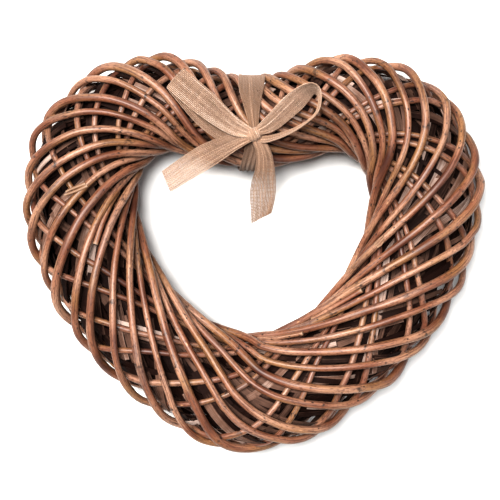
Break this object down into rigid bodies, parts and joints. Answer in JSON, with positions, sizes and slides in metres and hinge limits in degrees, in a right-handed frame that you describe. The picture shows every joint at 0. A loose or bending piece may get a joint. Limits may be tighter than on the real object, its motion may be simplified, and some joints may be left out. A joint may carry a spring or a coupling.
{
  "type": "wicker heart ornament",
  "caption": "Hanging heart of brown willow rods wound round a bundle of split willow, open in the middle, with a hessian ribbon tied in a bow at the dip.",
  "frame": {"origin": "centre of the bounding box's base, on the surface that the back of the heart lies on", "axes": "+Z out of the front, where the bow is; +Y towards the dip at the top of the heart; +X to the right"},
  "size_m": [0.4588, 0.3988, 0.1234],
  "materials": {
    "brown_willow": "satin bark",
    "thin_willow": "satin bark",
    "split_willow": "matt and rough",
    "jute_hessian": "open plain weave"
  },
  "bodies": {
    "root": {"outer_rod_01": "brown_willow", "outer_rod_02": "brown_willow", "outer_rod_03": "brown_willow", "outer_rod_04": "brown_willow", "outer_rod_05": "brown_willow", "outer_rod_06": "brown_willow", "outer_rod_07": "brown_willow", "outer_rod_08": "brown_willow", "outer_rod_09": "brown_willow", "outer_rod_10": "brown_willow", "outer_rod_11": "brown_willow", "outer_rod_12": "brown_willow", "outer_rod_13": "brown_willow", "outer_rod_14": "brown_willow", "outer_rod_15": "brown_willow", "outer_rod_16": "brown_willow", "outer_rod_17": "brown_willow", "outer_rod_18": "brown_willow", "outer_rod_19": "brown_willow", "outer_rod_20": "brown_willow", "outer_rod_21": "brown_willow", "inner_rod_01": "thin_willow", "inner_rod_02": "thin_willow", "inner_rod_03": "thin_willow", "inner_rod_04": "thin_willow", "inner_rod_05": "thin_willow", "inner_rod_06": "thin_willow", "inner_rod_07": "thin_willow", "inner_rod_08": "thin_willow", "inner_rod_09": "thin_willow", "inner_rod_10": "thin_willow", "inner_rod_11": "thin_willow", "inner_rod_12": "thin_willow", "inner_rod_13": "thin_willow", "inner_rod_14": "thin_willow", "inner_rod_15": "thin_willow", "inner_rod_16": "thin_willow", "split_core": "split_willow", "hessian_bow": "jute_hessian"}
  },
  "joints": []
}
